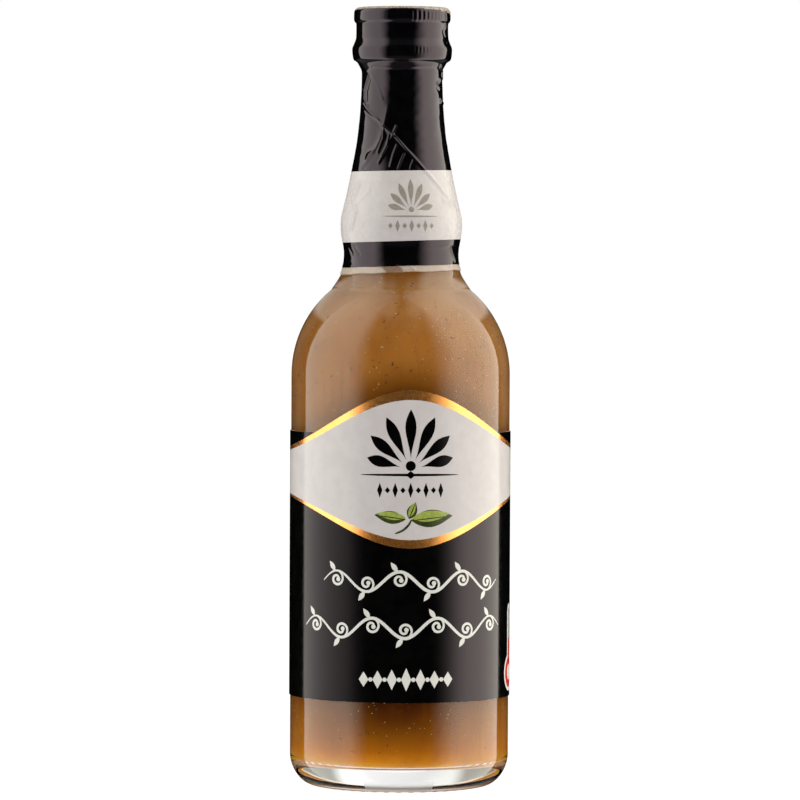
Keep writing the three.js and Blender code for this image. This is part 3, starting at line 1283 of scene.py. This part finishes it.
def sprig(x, z):
    """Two long leaves and a short one on a stem."""
    leaves = [(x + 0.4, z, 8.2, 3.3, 6), (x - 0.6, z + 0.2, 6.0, 2.4, 172), (x, z + 0.3, 3.4, 1.9, 68)]
    fields = []
    for base_x, base_z, length, width, degrees in leaves:
        turn = math.radians(degrees)
        lift = 0.14 * width
        tip = (base_x + length * 0.9 * math.cos(turn), base_z + length * 0.9 * math.sin(turn))
        fields.append((leaf(base_x, base_z, length, width, turn), "leaf_dark"))
        fields.append((leaf(base_x, base_z + lift, length * 0.94, width * 0.62, turn), "leaf_light"))
        fields.append((stroke(np.linspace((base_x, base_z), tip, 12), 0.22, 0.2), "leaf_dark"))
    stem = [(x + 0.5, z + 0.2), (x - 0.1, z - 0.9), (x - 1.2, z - 1.9), (x - 2.6, z - 2.5)]
    fields.append((stroke(spline(stem, 5), 0.45, 0.4), "leaf_dark"))
    return fields


def foot_row(x, z, pitch):
    """Lozenges that grow towards the middle, then a small disc in each gap."""
    lozenges = [lozenge(x + i * pitch, z, 1.9, 4.4 - 0.5 * abs(i)) for i in range(-3, 4)]
    return lozenges + [disc(x + (i + 0.5) * pitch, z, 0.42, 12) for i in range(-3, 3)]


def tube_shape(x, bottom, top, half_width):
    cap = [(x + half_width * math.cos(a), top - half_width + half_width * math.sin(a))
           for a in np.linspace(0, math.pi, 13)]
    return [(x - half_width, bottom), (x + half_width, bottom)] + cap


def heat_mark(x, z):
    """A plain thermometer with a cream outline, red up to its level and grey above."""
    return [
        (tube_shape(x, z, 35.3, 1.55), "cream"),
        (disc(x, z, 3.65, 36), "cream"),
        (tube_shape(x, z, 34.7, 0.95), "grey"),
        (tube_shape(x, z, 28.8, 0.95), "red"),
        (disc(x, z, 3.0, 36), "red"),
        (disc(x, z, 1.5, 24), "cream"),
    ]


def label_print():
    """The label's fields of colour, from the lowest up: each is a shape and the name of its ink."""
    middle = EYE_ANGLE * BODY_RADIUS
    panel_marks = [
        *palmette(middle, 61.6, 11.4, 2.1, 2.0),
        disc(middle, 62.3, 0.95, 24),
        rule(middle - 9.5, middle + 9.5, 60.6, 0.5, 30),
        lozenge(middle, 60.6, 1.9, 1.5),
        *lozenge_row(middle, 57.7, 4, 1.45, 1.0, 2.9, 1.2),
    ]
    cream_marks = [
        *vine(-15.6, 21.8, 40.4, 6, 1.9, 0.62),
        *vine(-20.8, 22.8, 31.6, 7, 1.9, 0.62),
        *foot_row(1.3, 21.9, 2.7),
    ]
    return [
        (label_shape(), "black"),
        (band_shape(GOLD_BOTTOM, GOLD_TOP), "gold"),
        (band_shape(WHITE_BOTTOM, WHITE_TOP), "white"),
        *inked(panel_marks, "black"),
        *sprig(middle - 0.3, 52.0),
        *inked(cream_marks, "cream"),
        *heat_mark(29.7, 22.1),
    ]


def gloss_to_the_sides(made):
    """The lacquer's gloss is thinner at the middle of the front and the back."""
    tree = made.node_tree
    surface = next(node for node in tree.nodes if node.type == "BSDF_PRINCIPLED")
    across = parts_of(tree, add(tree, "ShaderNodeTexCoord").outputs["Object"])["X"]
    left = ramp(tree, across, -8 * MM, -17 * MM, 0.05, 0.26, "LINEAR")
    right = ramp(tree, across, 7 * MM, 13 * MM, 0.05, 0.34, "LINEAR")
    tree.links.new(maths(tree, "MAXIMUM", left, right), surface.inputs["Specular IOR Level"])


def label_inks():
    """The label's finishes by name, with the paper of its back and edge last."""
    inks = {
        "black": finish("ink_black", ((0.001, 0.001, 0.001), (0.002, 0.002, 0.002)), (0.08, 0.13),
                        Specular_Tint=rgba((1.0, 0.83, 0.96))),
        "white": finish("ink_white", WHITE_INK, (0.14, 0.2), **SOFT_GLOSS),
        "gold": finish("gold_foil", ((0.95, 0.36, 0.075), (1.0, 0.42, 0.11)), (0.24, 0.30), Metallic=0.9,
                       Coat_Weight=0.8, Coat_Roughness=0.06),
        "cream": finish("ink_cream", ((0.66, 0.65, 0.62), (0.70, 0.69, 0.66)), (0.2, 0.3), **SOFT_GLOSS),
        "grey": finish("ink_grey", ((0.30, 0.30, 0.30), (0.34, 0.34, 0.34)), (0.2, 0.3)),
        "red": finish("ink_red", ((0.55, 0.02, 0.02), (0.6, 0.03, 0.03)), (0.15, 0.25)),
        "leaf_light": finish("ink_leaf_light", ((0.26, 0.33, 0.055), (0.34, 0.40, 0.08)), (0.2, 0.3),
                             patch=1500),
        "leaf_dark": finish("ink_leaf_dark", ((0.025, 0.035, 0.008), (0.045, 0.06, 0.012)), (0.2, 0.3)),
        "paper": finish("paper_edge", ((0.75, 0.73, 0.70), (0.8, 0.78, 0.75)), (0.5, 0.6)),
    }
    gloss_to_the_sides(inks["black"])
    return inks


def body_label():
    def face(radius):
        return lambda x, z: np.full(len(x), radius)

    inner_radius = BODY_RADIUS + PAPER_GAP
    piece = printed_sheet("body_label_sheet", label_print(), label_inks(), face(inner_radius + PAPER),
                          face(inner_radius), BODY_RADIUS, LABEL_GRID)
    keep(piece, "black_label", "body_label")


# Studio


def photograph_camera():
    data = bpy.data.cameras.new("camera")
    data.lens = CAMERA_LENS
    data.clip_end = 20
    camera = bpy.data.objects.new("camera", data)
    bpy.context.scene.collection.objects.link(camera)
    place = Vector(CAMERA_PLACE)
    turn = (Vector(CAMERA_AIM) - place).to_track_quat("-Z", "Y").to_matrix().to_4x4()
    camera.matrix_world = Matrix.Translation(place) @ turn @ Matrix.Rotation(CAMERA_ROLL, 4, "Z")
    bpy.context.scene.camera = camera


def turn_ramp(tree, angle, start, end, low=0.0, high=1.0):
    """A value that eases from low to high as an angle goes from start to end, in degrees."""
    return ramp(tree, angle, math.radians(start), math.radians(end), low, high)


def side_panel(tree, azimuth, soft, full, edge, strength):
    """A tall soft panel by azimuth in degrees: where it starts, where it is full and where it ends."""
    rise = turn_ramp(tree, azimuth, soft, full)
    fall = turn_ramp(tree, azimuth, edge, edge + math.copysign(3, edge), 1.0, 0.0)
    return times(tree, rise, fall, strength)


def light_behind(tree, way, aside, away, gap):
    """A pale field behind the bottle, dimmer towards straight behind."""
    behind = turn_ramp(tree, away, 100, 112)
    above = ramp(tree, maths(tree, "SUBTRACT", way["Z"], times(tree, aside, 0.66)), -0.03, 0.03)
    dim_left = ramp(tree, way["Y"], 0.15, 0.8, 2.3, 0.95)
    dim_right = ramp(tree, way["Y"], 0.35, 0.85, 3.0, 1.1)
    on_right = ramp(tree, way["X"], -0.1, 0.1)
    change = times(tree, on_right, maths(tree, "SUBTRACT", dim_right, dim_left))
    return times(tree, behind, above, gap, maths(tree, "ADD", dim_left, change))


def mirrored_light(tree, way, azimuth, height):
    """What gloss mirrors: in each direction the brightest of the lights, with a dark front."""
    away = maths(tree, "ABSOLUTE", azimuth)
    aside = maths(tree, "ABSOLUTE", way["X"])
    gap = maths(tree, "POWER", ramp(tree, aside, 0.005, 0.5, curve="LINEAR"), 0.5)
    overhead = turn_ramp(tree, height, 54, 70, 0.0, 1.8)
    lights = [
        (times(tree, side_panel(tree, azimuth, -32, -60, -118, 2.6), gap), (1.0, 1.0, 0.90)),
        (times(tree, side_panel(tree, azimuth, 30, 70, 125, 3.3), gap), (1.0, 0.97, 0.84)),
        (light_behind(tree, way, aside, away, gap), (1.0, 0.98, 0.88)),
        (times(tree, overhead, turn_ramp(tree, away, 5, 20), gap), (1.0, 0.98, 0.88)),
        (turn_ramp(tree, height, 35, 60, 0.0, 0.18), (1, 1, 1)),
        (turn_ramp(tree, height, -15, -30, 0.0, 0.16), (1, 1, 1)),
    ]
    brightest = (0, 0, 0)
    for strength, colour in lights:
        tinted = add(tree, "ShaderNodeVectorMath", {0: colour, "Scale": strength}, operation="SCALE")
        pair = {0: brightest, 1: tinted.outputs[0]}
        brightest = add(tree, "ShaderNodeVectorMath", pair, operation="MAXIMUM").outputs[0]
    return brightest


def passing_light(tree, way, azimuth, height):
    """Through the glass the sauce is lit from all round, a little more from the sides than the front."""
    sideways = times(tree, way["X"], maths(tree, "ADD", times(tree, way["X"], 0.48), 0.36))
    all_round = maths(tree, "ADD", sideways, 0.92)
    away = maths(tree, "ABSOLUTE", azimuth)
    start, end = turn_ramp(tree, away, 95, 105), turn_ramp(tree, away, 150, 160, 0.75, 0.0)
    corners = times(tree, start, end, turn_ramp(tree, height, 13, 20, 1.0, 0.0))
    return times(tree, all_round, maths(tree, "SUBTRACT", 1.0, corners))


def studio_light():
    """Two tall soft panels, one at each side, under a pale ceiling, with the front left dark."""
    world = bpy.data.worlds.new("studio")
    bpy.context.scene.world = world
    world.use_nodes = True
    tree = world.node_tree
    tree.nodes.clear()
    way = parts_of(tree, add(tree, "ShaderNodeTexCoord").outputs["Generated"])
    azimuth = maths(tree, "ARCTAN2", way["X"], times(tree, way["Y"], -1.0))
    height = maths(tree, "ARCSINE", way["Z"])
    warm = mixed(tree, times(tree, way["X"], way["X"]), rgba((1, 1, 1)), rgba((0.98, 1.12, 0.9)))

    def backdrop(colour, strength):
        return add(tree, "ShaderNodeBackground", {"Color": colour, "Strength": strength}).outputs[0]

    mirrored = backdrop(mirrored_light(tree, way, azimuth, height), 1.0)
    passing = backdrop(warm, passing_light(tree, way, azimuth, height))
    plain = backdrop(rgba((1, 1, 1)), 1.0)
    rays = add(tree, "ShaderNodeLightPath").outputs
    lit = add(tree, "ShaderNodeMixShader", {0: rays["Is Transmission Ray"], 1: mirrored, 2: passing})
    both = add(tree, "ShaderNodeMixShader", {0: rays["Is Camera Ray"], 1: lit.outputs[0], 2: plain})
    add(tree, "ShaderNodeOutputWorld", {"Surface": both.outputs[0]})
    bpy.context.scene.view_settings.view_transform = "Standard"


def floor():
    reach = 6.0
    corners = [(-reach, -reach, 0), (reach, -reach, 0), (reach, reach, 0), (-reach, reach, 0)]
    mesh = bpy.data.meshes.new("floor")
    mesh.from_pydata(corners, [], [(0, 1, 2, 3)])
    pale = surfaced(material("pale_floor"), {
        "Base Color": rgba((0.05, 0.05, 0.05)),
        "Roughness": 0.9,
        "Specular IOR Level": 0.0,
        "Emission Color": rgba((1, 1, 1)),
        "Emission Strength": 1.0,
    })
    mesh.materials.append(pale)
    piece = show("floor", mesh)
    piece.visible_glossy = False


photograph_camera()
studio_light()
floor()
glass_bottle()
sauce()
screw_cap()
shrink_sleeve()
neck_ornament()
body_label()
